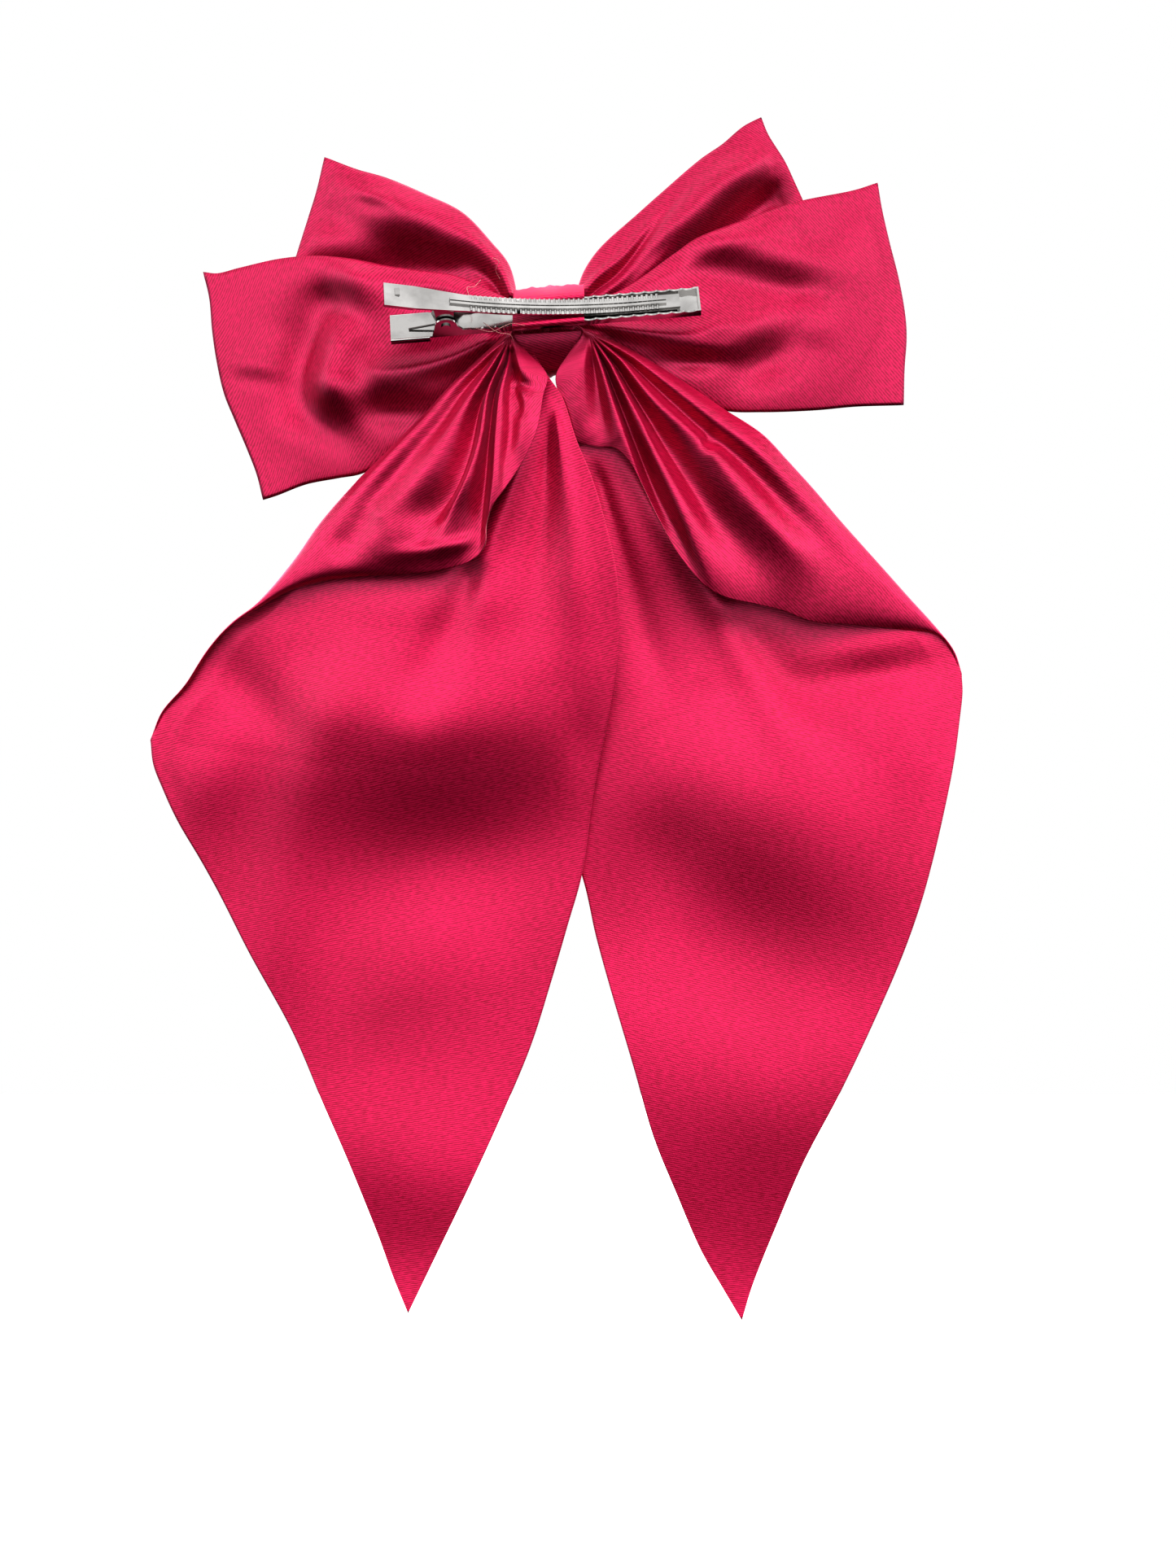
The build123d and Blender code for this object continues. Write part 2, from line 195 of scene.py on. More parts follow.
def cloth_mesh(name, patches, materials, thickness=CLOTH):
    """A thin closed sheet of cloth from grids of points that may share edge points.

    materials are those of the front side, the back side and the cut edge.
    """
    verts, faces, maps, index = [], [], [], {}
    for grid, (u, v) in patches:
        rows, cols = grid.shape[:2]
        ids = np.empty((rows, cols), int)
        for i in range(rows):
            for j in range(cols):
                key = tuple(np.round(grid[i, j], 4))
                if key not in index:
                    index[key] = len(verts)
                    verts.append(grid[i, j] * MM)
                ids[i, j] = index[key]
        for i in range(rows - 1):
            for j in range(cols - 1):
                corners = [(i, j), (i, j + 1), (i + 1, j + 1), (i + 1, j)]
                face, spots = [], []
                for c in corners:
                    if ids[c] not in face:
                        face.append(ids[c])
                        spots.append((u[c] * 0.1, v[c] * 0.1))
                if len(face) > 2:
                    faces.append(face)
                    maps.append(spots)
    mesh = bpy.data.meshes.new(name)
    mesh.from_pydata([tuple(p) for p in verts], [], [tuple(int(k) for k in f) for f in faces])
    layer = mesh.uv_layers.new(name="Cloth")
    flat = [spot for spots in maps for spot in spots]
    for loop, spot in zip(layer.data, flat):
        loop.uv = spot
    mesh.polygons.foreach_set("use_smooth", [True] * len(mesh.polygons))
    piece = bpy.data.objects.new(name, mesh)
    bpy.context.scene.collection.objects.link(piece)
    for material in materials:
        mesh.materials.append(material)
    thicken = piece.modifiers.new("Ply", "SOLIDIFY")
    thicken.thickness = thickness * MM
    thicken.offset = 0.0
    thicken.use_quality_normals = True
    thicken.material_offset = 1
    thicken.material_offset_rim = 2
    final = bpy.data.meshes.new_from_object(
        piece.evaluated_get(bpy.context.evaluated_depsgraph_get()))
    piece.modifiers.clear()
    piece.data = final
    final.name = name
    final.polygons.foreach_set("use_smooth", [True] * len(final.polygons))
    return piece


# ---------------------------------------------------------------- materials
def nodes_of(name):
    """A new material with its node tree and its main shader."""
    material = bpy.data.materials.new(name)
    material.use_nodes = True
    tree = material.node_tree
    return material, tree, tree.nodes["Principled BSDF"]


def link(tree, source, output, target, socket):
    tree.links.new(source.outputs[output], target.inputs[socket])


def satin(name, colour, dark, pitch, slant, rough, metallic, bump, sheen):
    """Woven satin: twill lines, broken weave grain, uneven dye and a soft directional sheen."""
    material, tree, shader = nodes_of(name)
    coord = tree.nodes.new("ShaderNodeTexCoord")
    turn = tree.nodes.new("ShaderNodeMapping")
    turn.inputs["Rotation"].default_value[2] = math.radians(slant)
    link(tree, coord, "UV", turn, "Vector")
    twill = tree.nodes.new("ShaderNodeTexWave")
    twill.inputs["Scale"].default_value = 0.314 / (pitch * 0.1)
    twill.inputs["Distortion"].default_value = 0.6
    twill.inputs["Detail"].default_value = 1.0
    twill.inputs["Detail Scale"].default_value = 3.0
    link(tree, turn, "Vector", twill, "Vector")
    stretch = tree.nodes.new("ShaderNodeMapping")
    stretch.inputs["Scale"].default_value = (1.0, 0.35, 1.0)
    link(tree, turn, "Vector", stretch, "Vector")
    grain = tree.nodes.new("ShaderNodeTexNoise")
    grain.inputs["Scale"].default_value = 18.0
    grain.inputs["Detail"].default_value = 4.0
    link(tree, stretch, "Vector", grain, "Vector")
    broad = tree.nodes.new("ShaderNodeTexNoise")
    broad.inputs["Scale"].default_value = 0.35
    broad.inputs["Detail"].default_value = 2.0
    link(tree, coord, "UV", broad, "Vector")
    weave = tree.nodes.new("ShaderNodeMath")
    weave.operation = "MULTIPLY_ADD"
    weave.inputs[1].default_value = 0.38
    link(tree, twill, "Fac", weave, 0)
    link(tree, grain, "Fac", weave, 2)
    tone = tree.nodes.new("ShaderNodeMath")
    tone.operation = "MULTIPLY_ADD"
    tone.inputs[1].default_value = 0.3
    link(tree, broad, "Fac", tone, 0)
    link(tree, weave, "Value", tone, 2)
    ramp = tree.nodes.new("ShaderNodeValToRGB")
    ramp.color_ramp.elements[0].position = 0.66
    ramp.color_ramp.elements[0].color = (*dark, 1)
    ramp.color_ramp.elements[1].position = 0.95
    ramp.color_ramp.elements[1].color = (*colour, 1)
    link(tree, tone, "Value", ramp, "Fac")
    link(tree, ramp, "Color", shader, "Base Color")
    roughness = tree.nodes.new("ShaderNodeMapRange")
    roughness.inputs["To Min"].default_value = rough - 0.06
    roughness.inputs["To Max"].default_value = rough + 0.08
    link(tree, grain, "Fac", roughness, "Value")
    link(tree, roughness, "Result", shader, "Roughness")
    relief_node = tree.nodes.new("ShaderNodeBump")
    relief_node.inputs["Strength"].default_value = bump
    relief_node.inputs["Distance"].default_value = 0.00006
    link(tree, weave, "Value", relief_node, "Height")
    link(tree, relief_node, "Normal", shader, "Normal")
    shader.inputs["Metallic"].default_value = metallic
    shader.inputs["Anisotropic"].default_value = 0.45
    shader.inputs["Specular IOR Level"].default_value = 1.0
    shader.inputs["Specular Tint"].default_value = (1.0, 0.6, 0.9, 1)
    shader.inputs["Sheen Weight"].default_value = sheen
    shader.inputs["Sheen Roughness"].default_value = 0.45
    shader.inputs["Sheen Tint"].default_value = (1.0, 0.22, 0.45, 1)
    return material


def cut_edge():
    """The heat-cut edge of the satin: a thin line mottled by noise between deep red and pale pink;
    the pale pink is a painted highlight of light caught along the edge.
    """
    material, tree, shader = nodes_of("satin_cut_edge_painted_highlight")
    coord = tree.nodes.new("ShaderNodeTexCoord")
    noise = tree.nodes.new("ShaderNodeTexNoise")
    noise.inputs["Scale"].default_value = 900.0
    link(tree, coord, "Object", noise, "Vector")
    ramp = tree.nodes.new("ShaderNodeValToRGB")
    ramp.color_ramp.elements[0].color = (0.55, 0.02, 0.09, 1)
    # pale pink end: painted highlight along the cut edge
    ramp.color_ramp.elements[1].color = (1.0, 0.50, 0.52, 1)
    link(tree, noise, "Fac", ramp, "Fac")
    link(tree, ramp, "Color", shader, "Base Color")
    shader.inputs["Roughness"].default_value = 0.5
    return material


def thread_look(name, colour):
    """Twisted polyester thread."""
    material, tree, shader = nodes_of(name)
    coord = tree.nodes.new("ShaderNodeTexCoord")
    wave = tree.nodes.new("ShaderNodeTexWave")
    wave.bands_direction = "DIAGONAL"
    wave.inputs["Scale"].default_value = 900.0
    link(tree, coord, "Object", wave, "Vector")
    ramp = tree.nodes.new("ShaderNodeValToRGB")
    ramp.color_ramp.elements[0].color = (*[c * 0.55 for c in colour], 1)
    ramp.color_ramp.elements[1].color = (*colour, 1)
    link(tree, wave, "Fac", ramp, "Fac")
    link(tree, ramp, "Color", shader, "Base Color")
    shader.inputs["Roughness"].default_value = 0.55
    shader.inputs["Sheen Weight"].default_value = 0.3
    return material


def nickel(name, bright, rough):
    """Nickel-plated steel: soft smears, fine scratches and a few darker pits."""
    material, tree, shader = nodes_of(name)
    coord = tree.nodes.new("ShaderNodeTexCoord")
    stretch = tree.nodes.new("ShaderNodeMapping")
    stretch.inputs["Scale"].default_value = (120.0, 900.0, 900.0)
    link(tree, coord, "Object", stretch, "Vector")
    scratch = tree.nodes.new("ShaderNodeTexNoise")
    scratch.inputs["Scale"].default_value = 1.0
    scratch.inputs["Detail"].default_value = 5.0
    link(tree, stretch, "Vector", scratch, "Vector")
    smear = tree.nodes.new("ShaderNodeTexNoise")
    smear.inputs["Scale"].default_value = 160.0
    smear.inputs["Detail"].default_value = 3.0
    link(tree, coord, "Object", smear, "Vector")
    ramp = tree.nodes.new("ShaderNodeValToRGB")
    ramp.color_ramp.elements[0].position = 0.3
    ramp.color_ramp.elements[0].color = (*[c * 0.72 for c in bright], 1)
    ramp.color_ramp.elements[1].position = 0.62
    ramp.color_ramp.elements[1].color = (*bright, 1)
    link(tree, smear, "Fac", ramp, "Fac")
    link(tree, ramp, "Color", shader, "Base Color")
    roughness = tree.nodes.new("ShaderNodeMapRange")
    roughness.inputs["To Min"].default_value = rough - 0.08
    roughness.inputs["To Max"].default_value = rough + 0.16
    link(tree, scratch, "Fac", roughness, "Value")
    link(tree, roughness, "Result", shader, "Roughness")
    bump = tree.nodes.new("ShaderNodeBump")
    bump.inputs["Strength"].default_value = 0.25
    bump.inputs["Distance"].default_value = 0.00003
    link(tree, scratch, "Fac", bump, "Height")
    link(tree, bump, "Normal", shader, "Normal")
    shader.inputs["Metallic"].default_value = 1.0
    return material


def glue_look():
    """Cloudy hot-melt glue."""
    material, tree, shader = nodes_of("hot_glue")
    coord = tree.nodes.new("ShaderNodeTexCoord")
    noise = tree.nodes.new("ShaderNodeTexNoise")
    noise.inputs["Scale"].default_value = 500.0
    link(tree, coord, "Object", noise, "Vector")
    ramp = tree.nodes.new("ShaderNodeValToRGB")
    ramp.color_ramp.elements[0].color = (0.62, 0.58, 0.5, 1)
    ramp.color_ramp.elements[1].color = (0.86, 0.84, 0.78, 1)
    link(tree, noise, "Fac", ramp, "Fac")
    link(tree, ramp, "Color", shader, "Base Color")
    shader.inputs["Roughness"].default_value = 0.35
    return material


def crimson(depth):
    """The satin's bright and dark dye; depth above 1 is brighter."""
    bright = (0.62 * depth, 0.012 * depth, 0.108 * depth)
    dark = (0.34 * depth, 0.002 * depth, 0.036 * depth)
    return bright, dark


shiny_side = satin("satin_shiny_side", *crimson(0.95), 0.52, 32, 0.34, 0.38, 0.35, 0.12)
dull_side = satin("satin_dull_side", *crimson(1.15), 0.58, 68, 0.44, 0.25, 0.6, 0.15)
loop_side = satin("satin_loop_side", *crimson(0.88), 0.55, 55, 0.42, 0.3, 0.55, 0.14)
# the cut edge's pale pink is a painted highlight, used on the rim of every cloth piece
cut_edge_highlight_side = cut_edge()
thread = thread_look("sewing_thread", (0.62, 0.03, 0.11))
pale_thread = thread_look("loose_thread", (0.85, 0.45, 0.42))
steel = nickel("nickel_plated_steel", (0.53, 0.52, 0.51), 0.11)
spring_steel = nickel("dark_spring_wire", (0.16, 0.15, 0.145), 0.3)
glue = glue_look()

# ---------------------------------------------------------------- bow loops


def loop_piece(name, node, top, bottom, end, depth, puff, shapes, front_shapes):
    """One loop: two plies of satin, joined along their edges and open inside the knot.

    top, bottom and end are outlines as seen; end runs from the top corner to the bottom one.
    depth is the middle depth at the knot, halfway and at the end. puff is the half thickness at
    the knot and halfway.
    """
    rows, cols = 130, 76
    share = np.linspace(0, 1, rows)
    middle = smooth_curve([(0, depth[0]), (0.5, depth[1]), (1, depth[2])], rows)[:, 1]
    upper = seen_curve(top, rows)
    lower = seen_curve(bottom, rows)
    edge = seen_curve(end, cols)
    b = np.linspace(0, 1, cols)
    straight = edge[0] + (edge[-1] - edge[0]) * b[:, None]
    bulge = edge - straight
    grid = upper[:, None] + (lower - upper)[:, None] * b[None, :, None]
    grid = grid + bulge[None] * (share**5)[:, None, None]
    a = share[:, None] * np.ones(cols)
    across = (1 - np.abs(2 * b - 1) ** 3.2) ** 0.85
    girth = [(0, puff[0]), (0.25, puff[1] * 0.9), (0.55, puff[1]), (1, 0.6)]
    half = smooth_curve(girth, rows)[:, 1]
    swell = half[:, None] * across[None] * smoothstep(0, 1, (1 - a) / 0.3) ** 0.6
    pinch = np.exp(-((a / 0.16) ** 2))
    gathers = pinch * 0.55 * np.cos(2 * math.pi * 5 * b + 0.6)[None] * across[None]
    guard = across[None] ** 0.5 * np.clip((1 - a) / 0.06, 0, 1)
    x, z = grid[..., 0], grid[..., 2]
    back = middle[:, None] + swell + gathers + relief(x, z, shapes) * guard
    front = middle[:, None] - swell + gathers * 0.8 + relief(x, z, front_shapes) * guard
    front = np.minimum(front, back - 0.3 * guard)
    back_grid = np.stack([x, back, z], axis=2)
    front_grid = np.stack([x, front, z], axis=2)
    u, v = length_map(back_grid)
    piece = cloth_mesh(name, [(back_grid, (u, v)), (front_grid[:, ::-1], (u[:, ::-1] + 7, v))],
                       [loop_side, loop_side, cut_edge_highlight_side])
    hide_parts(node)
    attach(piece, "bow")


loop_piece(
    "lower_loop_left_cloth", "lower_loop_left",
    top=[(1, 3.5, -12), (8.5, 4.5, -11.5), (19.4, 9.4, -11), (23.4, 10.8, -11), (29.9, 11.7, -11),
         (39.0, 13.0, -11), (48.1, 14.7, -11.5), (57.2, 15.3, -12), (65.6, 14.5, -12.5),
         (75.4, 12.2, -13), (81.2, 10.8, -13), (84.4, 11.2, -13)],
    bottom=[(1, -5, -12), (8.5, -7, -11.5), (16, -13, -11), (24, -21, -11), (34, -31, -11.5),
            (45.2, -38, -12), (51.3, -39.3, -12.5), (59.2, -40.9, -13), (66.3, -43.6, -13),
            (69.7, -44.7, -13)],
    end=[(84.4, 11.2, -13), (82.9, 4.9, -13), (82.2, -2.9, -13), (81.2, -10, -13),
         (79.3, -18.5, -13),
         (76.7, -25, -13), (73.4, -32.8, -13), (71.2, -38.6, -13), (69.7, -44.7, -13)],
    depth=(-12.0, -12.5, -13.0), puff=(2.6, 3.0),
    shapes=[
        crease([(12, -4.5), (24, -10.4), (34, -12.6), (43, -13), (48, -13.5)],
               2.3, (2.0, 3.8), 0.1, 0.2),
        slope(49.5, 7.0, 2.8, 7.5, 6.5, 40),
        slope(56.5, -9.0, 3.8, 16.0, 7.0, 104),
        slope(53.5, -22.0, 2.6, 9.0, 6.0, 45),
        slope(37.0, -20.0, 1.8, 11.5, 5.0),
        slope(29.0, 7.0, 0.4, 7.0, 2.6),
        slope(72.5, -13, 0.3, 7.0, 2.6, 8),
        crease([(12, 3), (26, 8.5), (42, 11), (58, 10), (72, 6)], 0.7, (1.6, 4.0), 0.1, 0.4),
        crease([(66, 0), (68, -12), (66, -24), (62, -35)], 0.8, (5.0, 6.0), 0.25, 0.3),
    ],
    front_shapes=[
        crease([(10, -4), (30, -10), (52, -14), (70, -17)], -1.8, (1.6, 4.5), 0.1, 0.4),
        crease([(10, 2), (30, 4), (52, 3), (68, 1)], 1.4, (1.5, 3.5), 0.1, 0.5),
        crease([(20, -14), (36, -24), (52, -31)], 1.2, (1.6, 3.6), 0.2, 0.4),
    ],
)

loop_piece(
    "lower_loop_right_cloth", "lower_loop_right",
    top=[(-1, 3.5, -12), (-8.5, 4.2, -11.5), (-17.1, 6.4, -11), (-31.4, 16.0, -11),
         (-36.6, 19.7, -11),
         (-47, 23.8, -11.5), (-54.8, 26.4, -12), (-62.8, 28.9, -12), (-75.7, 31.3, -13),
         (-81.2, 33.1, -13)],
    bottom=[(-1, -5, -12), (-8.5, -6, -11.5), (-20, -12, -11), (-32, -19, -11), (-43.8, -22.7, -12),
            (-52.9, -23.1, -12.5), (-65.9, -22.7, -13), (-75.6, -21.8, -13), (-87.6, -21.4, -13)],
    end=[(-81.2, 33.1, -13), (-82.2, 27, -13), (-84.1, 18.6, -13), (-86.4, 9.5, -13),
         (-88, 0.4, -13),
         (-88.3, -5, -13), (-87.8, -12.6, -13), (-87.6, -21.4, -13)],
    depth=(-12.0, -12.5, -13.0), puff=(2.6, 3.0),
    shapes=[
        crease([(-13, -2), (-22, -3.5), (-33, -4), (-42, -2.0), (-50, 2.5)],
               2.0, (1.6, 3.6), 0.1, 0.3),
        slope(-42.0, 16.5, 2.0, 13.0, 6.5, 12),
        slope(-60.0, 11.5, 1.2, 10.0, 5.5, 8),
        slope(-51.8, -6.5, 2.6, 8.0, 6.5, -38),
        slope(-68.0, 12.0, 1.2, 16.0, 9.0, 100),
        slope(-36.5, -8.6, 1.4, 8.0, 3.0),
        crease([(-22, 7), (-36, 15), (-52, 22), (-70, 26)], 0.7, (1.6, 4.0), 0.1, 0.4),
        crease([(-60, 6), (-66, 0), (-66, -8)], 0.7, (4.0, 5.0), 0.3, 0.4),
    ],
    front_shapes=[
        crease([(-10, -3), (-30, -5), (-52, -4), (-72, -2)], -1.8, (1.6, 4.5), 0.1, 0.4),
        crease([(-10, 2), (-28, 8), (-50, 14), (-70, 18)], 1.4, (1.5, 3.5), 0.1, 0.5),
        crease([(-18, -9), (-36, -15), (-56, -15)], 1.2, (1.6, 3.6), 0.2, 0.4),
    ],
)

loop_piece(
    "upper_loop_left_cloth", "upper_loop_left",
    top=[(1, 4, -19), (7.2, 3.6, -18), (7.9, 8.4, -17), (9.6, 13.8, -17), (13.6, 18.8, -17.5),
         (20.8, 26.1, -18.5), (29.9, 30.6, -19), (39.6, 34.5, -20), (46.8, 36.5, -20.5),
         (54.6, 39.4, -21)],
    bottom=[(1, -5, -19), (9, -6, -19), (25, -8, -20), (48, -12, -21), (70.6, -15, -21)],
    end=[(54.6, 39.4, -21), (56.6, 31, -21), (58.6, 24.5, -21), (61.5, 15.3, -21), (66, 0, -21),
         (70.6, -15, -21)],
    depth=(-19.0, -19.5, -21.0), puff=(3.0, 3.0),
    shapes=[
        crease([(8.9, 6), (11.4, 13.5), (17.6, 20.6), (25, 25.6)], 1.3, (0.9, 2.0), 0.05, 0.4),
        crease([(10.6, 5), (13.6, 10.6), (20, 16), (28, 18.6)], -2.2, (1.1, 3.6), 0.05, 0.4),
        crease([(13, 4.5), (20, 9), (30, 12)], 1.0, (1.0, 3.0), 0.1, 0.5),
        slope(34.0, 21.5, 4.0, 13.0, 9.5, 20),
        slope(21.0, 15.5, 2.2, 8.0, 6.0, 45),
        slope(50.0, 16.0, 3.6, 12.0, 8.0, 4),
        slope(47.0, 28.0, 1.6, 14.0, 9.0, 20),
        slope(43.6, 31.2, 0.6, 4.5, 2.0, 20),
    ],
    front_shapes=[
        crease([(10, 0), (28, 6), (48, 11), (62, 13)], -2.0, (1.6, 5.0), 0.1, 0.4),
        crease([(9, 5), (20, 16), (36, 24), (50, 29)], 1.5, (1.5, 3.5), 0.1, 0.5),
        crease([(12, -4), (32, -6), (54, -8)], 1.2, (1.6, 3.6), 0.1, 0.4),
        dent(50, 2, 0.8, 9, 5, 10),
    ],
)

loop_piece(
    "upper_loop_right_cloth", "upper_loop_right",
    top=[(-1, 4, -19), (-6.9, 4.6, -18), (-7.7, 8.0, -17), (-9.3, 12.2, -17), (-13, 17.4, -17.5),
         (-22.3, 25.7, -18.5), (-28.2, 30.9, -19), (-37.9, 39.1, -20), (-43.1, 42.6, -20.5),
         (-48.3, 46.9, -21), (-52.6, 49.2, -21)],
    bottom=[(-1, -5, -19), (-9, -5, -19), (-26, -6, -20), (-52, -4, -21), (-77, -3, -21)],
    end=[(-52.6, 49.2, -21), (-54.2, 45.2, -21), (-58.4, 38.4, -21), (-60.7, 33.5, -21),
         (-62.8, 28.9, -21), (-70, 13, -21), (-77, -3, -21)],
    depth=(-19.0, -19.5, -21.0), puff=(3.0, 3.0),
    shapes=[
        crease([(-8.6, 5), (-11.6, 11), (-18.5, 17), (-27, 26), (-35, 33), (-42, 38)],
               1.5, (0.9, 2.8), 0.05, 0.5),
        crease([(-8.1, 3.3), (-10.9, 7.7), (-17.6, 12.6), (-24.9, 22.3), (-31.7, 31.0),
                (-37.3, 36.9)],
               -1.5, (1.0, 1.3), 0.05, 0.3),
        crease([(-10.5, 4.5), (-18, 11), (-26, 19.5), (-34, 27), (-43, 34)],
               1.3, (1.0, 3.0), 0.05, 0.5),
        slope(-53.0, 35.5, 1.7, 7.0, 5.4, -40),
        slope(-46.5, 31.5, 4.2, 13.5, 7.5, -42),
        slope(-36.0, 21.0, 2.6, 10.0, 6.0, -44),
        slope(-25.5, 11.5, 1.2, 7.0, 3.0, -42),
        crease([(-56, 40), (-60, 31)], 0.8, (2.6, 3.0), 0.3, 0.4),
    ],
    front_shapes=[
        crease([(-10, 0), (-28, 8), (-48, 15), (-62, 20)], -2.0, (1.6, 5.0), 0.1, 0.4),
        crease([(-9, 5), (-20, 15), (-36, 28), (-47, 37)], 1.5, (1.5, 3.5), 0.1, 0.5),
        crease([(-12, -4), (-34, -3), (-58, 0)], 1.2, (1.6, 3.6), 0.1, 0.4),
    ],
)

# ---------------------------------------------------------------- tails
ROWS, SIDE_ROWS = 330, 180  # rows down the whole tail, and rows to the end of its fold
BODY_COLS, LOBE_COLS = 150, 150


def fold_over(share, reach):
    """0 at a folded edge, rising round the fold to 1."""
    t = np.clip(share / reach, 0, 1)
    return np.sqrt(1 - (1 - t) ** 2)


def tail_piece(name, node, inner, fold, slant, raw, inner_share, lift, body_shapes, lobe_shapes,
               apex, pleats):
    """One tail: a leaf-shaped body and, on its outer side, a lobe folded over towards the head.

    inner is the long edge, fold and slant the outer edge and the slanted cut, and raw the edge
    of the folded-over lobe. inner_share is where along inner the corner lies. lift is the
    height of the lobe over the fold. apex and pleats are the fan of pleats in the lobe.
    """
    fold_line = seen_curve(fold, SIDE_ROWS)
    cut_line = seen_curve(slant, ROWS - SIDE_ROWS + 1)[1:]
    outer_line = np.concatenate([fold_line, cut_line])
    long_edge = seen_curve(inner, 900)
    part = np.concatenate([
        np.linspace(0, inner_share, SIDE_ROWS),
        np.linspace(inner_share, 1, ROWS - SIDE_ROWS + 1)[1:],
    ])
    inner_line = np.stack(
        [np.interp(part * 899, np.arange(900), long_edge[:, i]) for i in range(3)], 1)
    s = np.linspace(0, 1, BODY_COLS)
    body = inner_line[:, None] + (outer_line - inner_line)[:, None] * s[None, :, None]
    x, z = body[..., 0], body[..., 2]
    t = np.linspace(0, 1, ROWS)[:, None]
    free = np.clip((1 - s) / 0.06, 0, 1)[None] ** 0.8
    free = free + (1 - free) * smoothstep(0.5, 0.62, t)
    below = 1.0 * (1 - smoothstep(0.35, 0.5, t)) * fold_over(1 - s, 0.12)[None]
    body[..., 1] += relief(x, z, body_shapes) * free - below
    raw_line = seen_curve(raw, SIDE_ROWS)
    r = np.linspace(0, 1, LOBE_COLS)
    lobe = fold_line[:, None] + (raw_line - fold_line)[:, None] * r[None, :, None]
    x, z = lobe[..., 0], lobe[..., 2]
    t = np.linspace(0, 1, SIDE_ROWS)
    rise = np.interp(t, [0, 0.08, 0.3, 0.6, 0.85, 1], [0.2, 0.8, 1, 1, 0.6, 0]) * lift
    turn = fold_over(r, 0.22)
    straight = lobe[..., 1]
    keep = turn[None] ** 0.7
    lobe[..., 1] = straight + (rise[:, None] * turn[None]) * (1 - r[None] ** 3) \
        + (relief(x, z, lobe_shapes) + fan(x, z, apex, pleats)) * keep
    lobe[:, 0] = body[:SIDE_ROWS, -1]
    bu, bv = length_map(body)
    lu, lv = length_map(lobe)
    lobe_map = (bu[:SIDE_ROWS, -1][:, None] + lu, bv[:SIDE_ROWS, -1][:, None] + 0 * lv)
    sides = [dull_side, shiny_side]
    if fold[-1][0] < 0:
        sides.reverse()  # the right tail's grids run the other way round
    piece = cloth_mesh(name, [(body, (bu, bv)), (lobe, lobe_map)], sides + [cut_edge_highlight_side])
    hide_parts(node)
    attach(piece, "bow")


